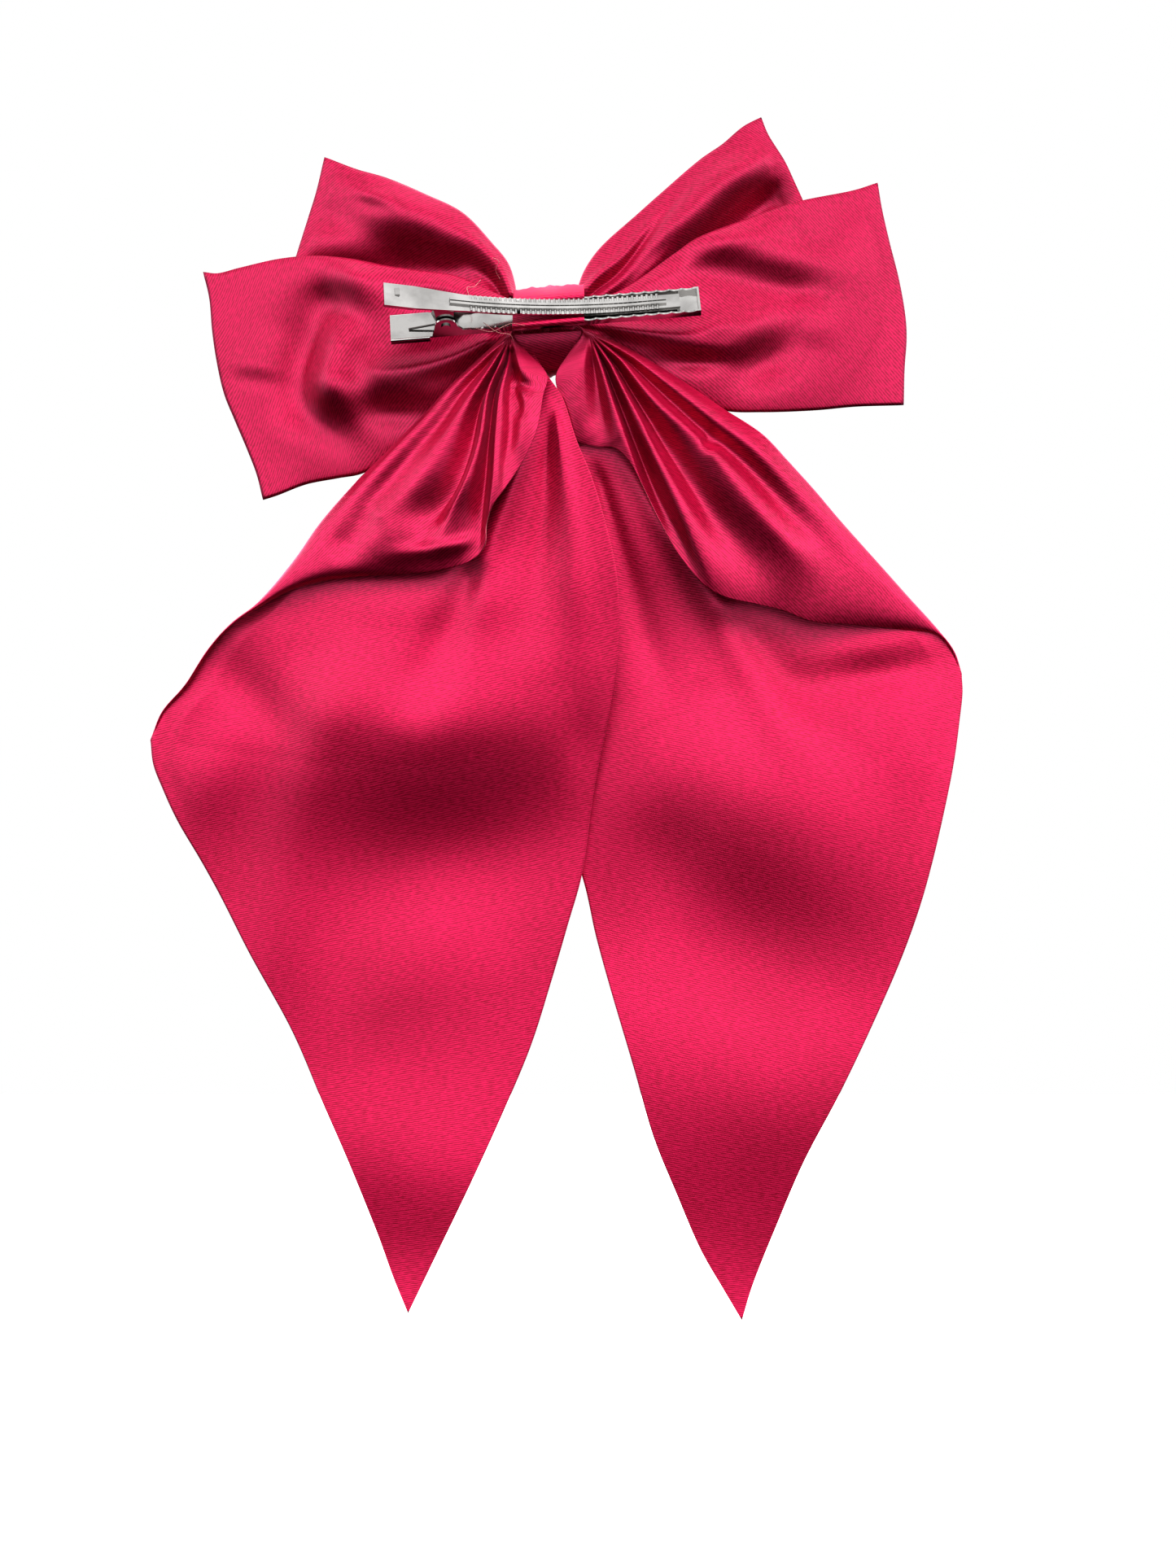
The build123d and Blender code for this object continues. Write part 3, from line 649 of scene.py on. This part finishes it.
tail_piece(
    "tail_left_cloth", "tail_left",
    inner=[(6, -3.5, -7.5), (3.0, -9.0, -5.5), (-0.3, -14.2, -2.6), (-3.8, -19.4, -2.0),
           (-7.2, -29.6, -1.8), (-11.2, -39.5, -2.2), (-14.1, -49.2, -3.0), (-17.0, -61.8, -4.5),
           (-17.8, -72.2, -6.5), (-17.3, -84.4, -9.0), (-15.6, -95.9, -11.5), (-11.8, -115, -14.5),
           (-8.6, -136.9, -16.5), (-5.2, -149, -17.5), (-1.1, -163, -18.5), (3.9, -178.8, -19.5),
           (10.5, -194.6, -20.0), (18.8, -212.8, -20.5), (27.1, -230.2, -21.0),
           (34.2, -244.9, -21.5)],
    fold=[(6.5, -1.5, -7.0), (10.5, -4.6, -6.6), (16.4, -9.9, -6.2), (23.4, -16.3, -6.2),
          (29.5, -23.0, -6.4), (35.7, -29.2, -6.6), (41.0, -34.6, -7.0), (46.4, -39.9, -7.6),
          (55.6, -50.4, -9.0), (61.7, -59.2, -10.2), (67.8, -66.8, -11.4), (72.4, -71.6, -12.4),
          (77.8, -75.8, -13.4), (83.5, -82.5, -15.2), (88.5, -90.2, -16.8), (94.5, -97.0, -18.4),
          (97.3, -103.8, -19.4)],
    slant=[(97.3, -103.8, -19.4), (96.6, -109.7, -19.6), (94.2, -115.8, -19.8),
           (90.6, -123.5, -20.0),
           (84.9, -133.4, -20.2), (80.4, -141.6, -20.4), (73.6, -154.8, -20.6),
           (62.8, -174.6, -21.0),
           (55.3, -192, -21.2), (48.7, -207, -21.3), (42.0, -224.4, -21.4), (37.9, -236, -21.5),
           (34.2, -244.9, -21.5)],
    raw=[(6.5, -2.0, -6.0), (8.4, -4.0, -3.2), (4.5, -8.8, -2.4), (-0.1, -14.2, -1.4),
         (0.9, -19.0, -0.6), (2.5, -27.6, 0.6), (5.7, -35.0, 1.0), (10.0, -41.5, 1.2),
         (13.2, -46.3, 1.0), (14.8, -51.0, 0.2), (15.2, -56.0, -0.6), (18.5, -59.6, -1.2),
         (26.0, -61.9, -2.4), (36.0, -62.9, -4.0), (46.4, -63.5, -5.6), (55.6, -64.8, -7.4),
         (63.0, -67.0, -9.0), (70.8, -71.2, -10.6), (77.4, -75.6, -12.2), (83.2, -82.6, -14.6),
         (88.2, -90.4, -16.6), (94.2, -97.2, -18.3), (97.1, -104.0, -19.3)],
    inner_share=0.47, lift=3.8,
    body_shapes=[
        crease([(2, -19), (4.5, -30), (9, -44), (14, -58), (16, -72), (20, -92)],
               2.2, (1.2, 6.0), 0.3, 0.5),
        crease([(-0.5, -22), (0, -34), (1, -50), (3, -68), (6, -88)], -1.7, (1.2, 5.0), 0.25, 0.5),
        crease([(-2.2, -22), (-4, -36), (-6, -52), (-7, -72), (-5, -92)],
               1.6, (1.0, 5.0), 0.1, 0.4),
        crease([(16, -58), (22, -72), (28, -86), (36, -104)], -2.2, (3.0, 8.0), 0.15, 0.4),
        crease([(44, -74), (54, -98), (62, -128), (66, -160), (60, -190)],
               2.6, (7.0, 13.0), 0.25, 0.4),
        slope(21, -117, 2.2, 26, 23, -18),
        dent(-9, -104, -1.2, 5, 10, 0),
        dent(36, -160, 1.4, 16, 24, 30),
        dent(84, -112, 1.6, 9, 14, 20),
        dent(74, -92, -1.6, 14, 7, 40),
        slope(40, -222, 1.6, 34, 22, 10),
        dent(36, -97, 7.4, 46, 27, -8),
        dent(30, -70, 1.4, 24, 8, -4),
    ],
    lobe_shapes=[
        crease([(8.6, -8.3), (8.8, -12), (6.6, -16.5), (2.6, -20.4)], -2.2, (0.8, 1.3), 0.05, 0.3),
        crease([(8.2, -17), (6.6, -22), (5.6, -27)], -1.2, (0.9, 1.4), 0.2, 0.4),
        crease([(40, -48), (46, -54), (54, -60)], -1.2, (3.0, 4.0), 0.3, 0.4),
        crease([(17, -53), (20, -56), (30, -58), (44, -59)], 1.2, (1.4, 2.6), 0.2, 0.5),
        dent(34, -54, 1.0, 10, 4.5, 0),
    ],
    apex=(8.6, -5.0),
    pleats=[
        (0, [(16.4, -9.9), (29.5, -23), (46.4, -39.9), (61, -59)]),
        (1.6, [(16.4, -12.2), (23.4, -18.0), (29.0, -24.5), (37, -33), (46, -43)]),
        (-1.2, [(14.6, -12.6), (20.6, -19.6), (25.6, -26.5), (33, -35), (42, -45)]),
        (1.6, [(13.2, -13), (18.4, -21), (23.6, -30), (31, -41), (40, -50)]),
        (-2.8, [(11.8, -12.4), (15.8, -22), (18.6, -35), (22.5, -44), (28, -51)]),
        (2.5, [(11, -12.4), (14.2, -20), (15.6, -30), (18.6, -40), (22.4, -48)]),
        (-2.9, [(10.0, -12.4), (12.6, -20), (13.9, -30), (14.8, -42), (16, -52)]),
        (2.2, [(9.2, -12.6), (11.0, -20), (11.9, -30), (12.4, -40), (13.6, -50)]),
        (-1.0, [(8.2, -12.6), (8.8, -19), (8.6, -28), (9.5, -36)]),
        (1.2, [(6.6, -12.4), (5.2, -19), (5.0, -26), (5.6, -33)]),
        (0, [(2, -12), (0.9, -19), (1.5, -25)]),
    ],
)

tail_piece(
    "tail_right_cloth", "tail_right",
    inner=[(-6, -3.5, -7.6), (-6.2, -9, -6.2), (-5.6, -14, -5.4), (-4.6, -20, -5.0),
           (-1, -30, -5.2),
           (4, -41, -6.0), (7.5, -54, -7.6), (9, -67, -9.8), (9, -80, -12.6), (6.5, -95, -16.0),
           (1, -113, -19.4), (-8.6, -137, -20.6), (-12.1, -152.1, -21), (-15.6, -164.8, -21),
           (-21.2, -183.7, -21), (-26.2, -201.2, -21), (-31.8, -215.2, -21.2), (-38.1, -230, -21.4),
           (-43.7, -239.8, -21.5), (-48.2, -247.4, -21.6)],
    fold=[(-6.5, -1.5, -7.0), (-10.5, -3.6, -6.6), (-16.4, -5.8, -6.4), (-24.0, -9.8, -6.6),
          (-33.7, -15.8, -7.0), (-43.8, -22.7, -7.6), (-52.9, -28.6, -8.6), (-59.4, -35.4, -9.6),
          (-65.9, -42.6, -10.8), (-71.8, -49.6, -12.0), (-82.5, -61.6, -14.4),
          (-87.8, -67.6, -15.8),
          (-96.4, -77.2, -18.0), (-100.2, -82.4, -19.0), (-101.8, -87.5, -19.4)],
    slant=[(-101.8, -87.5, -19.4), (-102.0, -92.0, -19.6), (-101.2, -98.7, -19.8),
           (-99.8, -108, -20.0),
           (-97.8, -118, -20.2), (-94.4, -132.6, -20.4), (-91.1, -144.5, -20.6),
           (-86.5, -157.7, -20.8),
           (-80.2, -172.4, -21.0), (-71.8, -190, -21.2), (-63.3, -206.8, -21.4),
           (-56.3, -224.4, -21.5),
           (-50.7, -239.1, -21.6), (-48.2, -247.4, -21.6)],
    raw=[(-6.5, -2.0, -6.2), (-8.6, -3.4, -3.6), (-5.4, -8.8, -3.2), (-2.2, -14.2, -3.2),
         (-2.9, -19.0, -3.6), (-4.6, -26.0, -4.2), (-7.2, -30.2, -4.6), (-10.0, -31.2, -4.9),
         (-13.1, -31.8, -5.0), (-16.4, -32.0, -5.0), (-19.0, -34.0, -4.9), (-21.4, -37.4, -4.8),
         (-27.6, -49.6, -4.4), (-32.4, -58.1, -5.0), (-38.3, -65.4, -5.6), (-43.1, -68.4, -6.2),
         (-51.2, -70.3, -7.2), (-57.6, -71.8, -8.4), (-65.2, -74.6, -9.8), (-73.2, -75.2, -11.6),
         (-81.2, -75.8, -13.6), (-87.8, -76.6, -15.4), (-96.0, -78.0, -17.6), (-99.8, -82.8, -18.8),
         (-101.5, -87.7, -19.3)],
    inner_share=0.40, lift=3.4,
    body_shapes=[
        crease([(-14, -33), (-21, -39), (-27, -49), (-35, -60), (-44, -74), (-56, -96),
                (-68, -118)],
               2.0, (1.6, 7.0), 0.3, 0.4),
        crease([(-4, -28), (-6, -40), (-8, -56), (-10, -76), (-12, -96)],
               2.2, (2.0, 7.0), 0.05, 0.4),
        crease([(-11, -34), (-15, -46), (-20, -62), (-26, -82), (-33, -104)],
               -1.4, (1.6, 5.0), 0.1, 0.4),
        crease([(-42, -70), (-56, -86), (-72, -100)], -1.4, (3.0, 8.0), 0.2, 0.4),
        slope(-62, -146, 3.0, 40, 29, 24),
        dent(-88, -100, 1.6, 10, 16, -10),
        dent(-30, -130, -1.4, 12, 14, 0),
        slope(-60, -212, 4.6, 60, 50, 8),
        slope(-82, -84, 1.0, 14, 6, -8),
        dent(-50, -110, 6.6, 46, 29, -5),
        dent(-30, -56, 2.0, 11, 18, -30),
    ],
    lobe_shapes=[
        crease([(-38, -31), (-44, -37), (-52, -46), (-60, -55), (-70, -63)],
               1.4, (1.5, 5.0), 0.1, 0.4),
        crease([(-37.5, -30.5), (-39.5, -32), (-41, -34)], -1.4, (1.3, 1.5), 0.3, 0.4),
    ],
    apex=(-10.2, -4.4),
    pleats=[
        (0, [(-24, -9.8), (-43.8, -22.7), (-59.4, -35.4), (-72, -50)]),
        (1.5, [(-21.5, -10.8), (-31, -17.8), (-40, -24.8), (-52, -33.5), (-64, -45)]),
        (-1.4, [(-19.6, -11.2), (-28, -19), (-37, -27.2), (-49, -37), (-61, -50)]),
        (2.2, [(-18.4, -12), (-26, -21.4), (-35.4, -30), (-46, -43), (-57, -55)]),
        (-2.0, [(-17, -12.6), (-23.4, -23), (-31, -35), (-40, -48), (-49, -60)]),
        (2.6, [(-15.6, -13), (-20.6, -23), (-26, -34), (-31.5, -45), (-37, -58)]),
        (-2.4, [(-14.4, -13), (-18.4, -23), (-22.4, -33), (-27, -44), (-32, -54)]),
        (1.9, [(-13.2, -13), (-16, -22), (-18.8, -30), (-21.5, -38)]),
        (-1.8, [(-11.6, -12.4), (-12.6, -20), (-13.4, -28)]),
        (0.8, [(-8.6, -12.4), (-7.6, -20), (-7, -27)]),
        (0, [(-4.5, -12), (-3.6, -19), (-3.8, -24)]),
    ],
)

# ---------------------------------------------------------------- centre band
CLIP_ROLL = math.radians(26.0)
CLIP_TILT = math.tan(math.radians(4.7))


def beside_clip(across, above):
    """A point of the band given in the clip's own section, as (y, z)."""
    c, s = math.cos(CLIP_ROLL), math.sin(CLIP_ROLL)
    return (across * s + above * c, -across * c + above * s)


def band_piece():
    """The strip of satin round the knot, from its raw end over the base jaw round to the inside."""
    over_clip = [(4.25, -0.35), (3.95, 0.32), (3.35, 0.45), (2.85, -0.1), (2.5, -1.0), (1.2, -1.22),
                 (-1.2, -1.22), (-2.5, -1.0), (-2.85, -0.1), (-3.35, 0.45), (-3.95, 0.32),
                 (-4.35, -0.9)]
    path = [beside_clip(*p) for p in over_clip]
    path += [(-4.6, 4.9), (-8.5, 7.0), (-13.0, 8.7), (-18.5, 9.0), (-23.4, 6.6), (-26.0, 1.5),
             (-25.6, -4.0), (-22.8, -8.4), (-18.0, -11.4), (-13.0, -13.2), (-9.4, -12.6),
             (-6.6, -9.4), (-5.2, -6.6), (-4.7, -4.2)]
    rows, cols = 260, 90
    route = smooth_curve(path, rows)
    w = np.linspace(-0.5, 0.5, cols)
    follow = np.interp(np.linspace(0, 1, rows), [0, 0.32, 0.5, 0.85, 1], [1, 1, 0.3, 0.3, 0.8])
    share = np.linspace(0, 1, rows)
    front = smoothstep(0.25, 0.45, share) * (1 - smoothstep(0.72, 0.92, share))
    middle = np.array([-14.5, -0.5])
    out = route - middle
    out = out / np.linalg.norm(out, axis=1)[:, None]
    pleats = 0.75 * np.cos(2 * math.pi * 3.5 * w + 0.5) + 0.35 * np.cos(2 * math.pi * 8 * w)
    crown = -1.6 * (2 * np.abs(w)) ** 2.4
    push = front[:, None] * (pleats + crown)[None]
    x = -0.5 + BAND_WIDTH * w[None] * (1 - 0.04 * front[:, None])
    y = route[:, 0][:, None] + out[:, 0][:, None] * push
    z = route[:, 1][:, None] + out[:, 1][:, None] * push - CLIP_TILT * x * follow[:, None]
    grid = np.stack([x + 0 * y, y, z], axis=2)
    piece = cloth_mesh("centre_band_cloth", [(grid, length_map(grid))],
                       [loop_side, dull_side, cut_edge_highlight_side], BAND_CLOTH)
    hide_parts("centre_band")
    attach(piece, "bow")


band_piece()

looks = {
    "clip_base_jaw": steel, "clip_lever_jaw": steel, "clip_hinge_pin": steel,
    "clip_torsion_spring": spring_steel, "layer_binding": thread, "tail_binding": thread,
    "glue_pad": glue,
}
for node, material in looks.items():
    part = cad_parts[node]
    part.data.materials.clear()
    part.data.materials.append(material)


def sprung_wire():
    """The torsion spring as a piece of its own, copied in place from its CAD part."""
    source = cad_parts["clip_torsion_spring"]
    mesh = source.data.copy()
    mesh.transform(source.matrix_world)
    wire = bpy.data.objects.new("torsion_spring_wire", mesh)
    bpy.context.scene.collection.objects.link(wire)
    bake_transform(wire)
    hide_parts("clip_torsion_spring")


sprung_wire()

# ---------------------------------------------------------------- threads
def strand(vertices, faces, route, radius):
    """Adds a thin round thread along the route to lists of vertices and faces."""
    line = smooth_curve(route, max(6, 8 * len(route)))
    first = len(vertices)
    for i, spot in enumerate(line):
        ahead = line[min(i + 1, len(line) - 1)] - line[max(i - 1, 0)]
        ahead = ahead / np.linalg.norm(ahead)
        side = np.cross(ahead, (0.31, 0.87, 0.39))
        side = side / np.linalg.norm(side)
        up = np.cross(side, ahead)
        for k in range(STRAND_SIDES):
            turn = 2 * math.pi * k / STRAND_SIDES
            round_line = side * math.cos(turn) + up * math.sin(turn)
            vertices.append(tuple((spot + radius * round_line) * MM))
    for i in range(len(line) - 1):
        for k in range(STRAND_SIDES):
            a, b = first + i * STRAND_SIDES + k, first + i * STRAND_SIDES + (k + 1) % STRAND_SIDES
            faces.append((a, b, b + STRAND_SIDES, a + STRAND_SIDES))
    faces.append(tuple(first + k for k in reversed(range(STRAND_SIDES))))
    last = first + (len(line) - 1) * STRAND_SIDES
    faces.append(tuple(last + k for k in range(STRAND_SIDES)))


def thread_piece(name, routes, radius, material):
    """One piece made of all the loose ends of thread that routes, as seen, gives."""
    vertices, faces = [], []
    for route in routes:
        strand(vertices, faces, [as_seen(*p) for p in route], radius)
    mesh = bpy.data.meshes.new(name)
    mesh.from_pydata(vertices, [], faces)
    mesh.materials.append(material)
    mesh.polygons.foreach_set("use_smooth", [True] * len(mesh.polygons))
    piece = bpy.data.objects.new(name, mesh)
    bpy.context.scene.collection.objects.link(piece)
    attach(piece, "bow")
    return piece


thread_piece("loose_thread_ends", [
    [(16.3, 9.3, -4), (17.9, 7.6, -2), (19.6, 7.4, 0), (19.2, 5.4, 1), (19.3, 3.7, 1)],
    [(17.4, -2.6, 3.0), (13.6, -3.4, 3.4), (10.4, -2.0, 3.2), (8.6, -1.4, 2.6), (5.4, -1.9, 2.4)],
    [(15.6, -1.2, 2.8), (12.0, -3.6, 3.2), (9.0, -4.2, 2.4), (8.2, -5.8, 1.0)],
    [(11.5, 9.4, -9), (12.6, 11.8, -7), (11.8, 13.8, -6), (13.4, 14.8, -6.5)],
], STRAND_RADIUS, pale_thread)

# ---------------------------------------------------------------- light, floor and camera
def sun(name, towards, strength, spread):
    """A far, soft light. towards points from the bow to the light, spread is in degrees."""
    data = bpy.data.lights.new(name, "SUN")
    data.energy = strength
    data.angle = math.radians(spread)
    lamp = bpy.data.objects.new(name, data)
    lamp.visible_glossy = False
    lamp.rotation_euler = Vector(towards).to_track_quat("Z", "Y").to_euler()
    bpy.context.scene.collection.objects.link(lamp)


def studio():
    """A plain pale floor, three soft lamps and a sky with bands for the satin's gloss."""
    floor_mesh = bpy.data.meshes.new("floor")
    reach, level = FLOOR_REACH, FLOOR_LEVEL
    floor_mesh.from_pydata([(-reach, -reach, level), (reach, -reach, level), (reach, reach, level),
                            (-reach, reach, level)], [], [(0, 1, 2, 3)])
    floor = bpy.data.objects.new("floor", floor_mesh)
    bpy.context.scene.collection.objects.link(floor)
    material, tree, shader = nodes_of("pale_floor")
    shader.inputs["Base Color"].default_value = (0.93, 0.93, 0.93, 1)
    shader.inputs["Roughness"].default_value = 0.9
    floor_mesh.materials.append(material)
    floor.visible_diffuse = False
    floor.visible_glossy = False
    sun("key", (-0.26, 0.54, 0.80), 4.6, 38)
    sun("fill", (0.10, 0.95, 0.05), 0.46, 60)
    sun("back_key", (0.35, -0.75, 0.60), 3.0, 30)
    world = bpy.data.worlds.new("studio")
    bpy.context.scene.world = world
    world.use_nodes = True
    tree = world.node_tree
    ground = tree.nodes["Background"]
    ground.inputs["Color"].default_value = (1, 0.5, 0.5, 1)
    gloss = tree.nodes.new("ShaderNodeBackground")
    aim = tree.nodes.new("ShaderNodeTexCoord")
    split = tree.nodes.new("ShaderNodeSeparateXYZ")
    sky = tree.nodes.new("ShaderNodeMapRange")
    sky.interpolation_type = "SMOOTHSTEP"
    sky.inputs["From Min"].default_value = -0.2
    sky.inputs["From Max"].default_value = 1.0
    sky.inputs["To Min"].default_value = 0.04
    sky.inputs["To Max"].default_value = 0.9
    height = tree.nodes.new("ShaderNodeMapRange")
    height.inputs["From Min"].default_value = -1.0
    bands = tree.nodes.new("ShaderNodeValToRGB")
    steps = [(0.0, 0.0), (0.2, 0.0), (0.36, 0.3), (0.5, 0.6), (0.68, 1.0), (0.9, 0.26), (1.0, 0.6)]
    while len(bands.color_ramp.elements) < len(steps):
        bands.color_ramp.elements.new(0.5)
    for element, (place, level) in zip(bands.color_ramp.elements, steps):
        element.position = place
        element.color = (level, level, level, 1)
    shine = tree.nodes.new("ShaderNodeMath")
    shine.operation = "MULTIPLY"
    shine.inputs[1].default_value = GLOSS_STRENGTH
    tree.links.new(aim.outputs["Generated"], split.inputs["Vector"])
    tree.links.new(split.outputs["Z"], height.inputs["Value"])
    drift = tree.nodes.new("ShaderNodeTexNoise")
    drift.inputs["Scale"].default_value = 2.2
    drift.inputs["Detail"].default_value = 0.0
    tree.links.new(aim.outputs["Generated"], drift.inputs["Vector"])
    sway = tree.nodes.new("ShaderNodeMath")
    sway.operation = "MULTIPLY_ADD"
    sway.inputs[1].default_value = 0.16
    tree.links.new(drift.outputs["Fac"], sway.inputs[0])
    tree.links.new(height.outputs["Result"], sway.inputs[2])
    lowered = tree.nodes.new("ShaderNodeMath")
    lowered.operation = "SUBTRACT"
    lowered.inputs[1].default_value = 0.08
    tree.links.new(sway.outputs["Value"], lowered.inputs[0])
    tree.links.new(lowered.outputs["Value"], bands.inputs["Fac"])
    tree.links.new(bands.outputs["Color"], shine.inputs[0])
    tree.links.new(shine.outputs["Value"], gloss.inputs["Strength"])
    tree.links.new(split.outputs["Z"], sky.inputs["Value"])
    tree.links.new(sky.outputs["Result"], ground.inputs["Strength"])
    plain = tree.nodes.new("ShaderNodeBackground")
    plain.inputs["Color"].default_value = (1, 1, 1, 1)
    plain.inputs["Strength"].default_value = 1.0
    seen = tree.nodes.new("ShaderNodeLightPath")
    mirrored = tree.nodes.new("ShaderNodeMixShader")
    tree.links.new(seen.outputs["Is Glossy Ray"], mirrored.inputs["Fac"])
    tree.links.new(ground.outputs["Background"], mirrored.inputs[1])
    tree.links.new(gloss.outputs["Background"], mirrored.inputs[2])
    mix = tree.nodes.new("ShaderNodeMixShader")
    tree.links.new(seen.outputs["Is Camera Ray"], mix.inputs["Fac"])
    tree.links.new(mirrored.outputs["Shader"], mix.inputs[1])
    tree.links.new(plain.outputs["Background"], mix.inputs[2])
    tree.links.new(mix.outputs["Shader"], tree.nodes["World Output"].inputs["Surface"])
    bpy.context.scene.view_settings.view_transform = "Standard"
    bpy.context.scene.view_settings.gamma = PICTURE_GAMMA


studio()
camera_data = bpy.data.cameras.new("camera")
camera_data.sensor_width = 36.0
camera_data.lens = 36.0 * (CAMERA_Y - OUTLINE_Y) / FRAME_HEIGHT
camera_data.clip_start = 0.01
camera = bpy.data.objects.new("camera", camera_data)
camera.location = (VIEW_X * MM, CAMERA_Y * MM, VIEW_Z * MM)
camera.rotation_euler = (math.pi / 2, 0, math.pi)
bpy.context.scene.collection.objects.link(camera)
bpy.context.scene.camera = camera
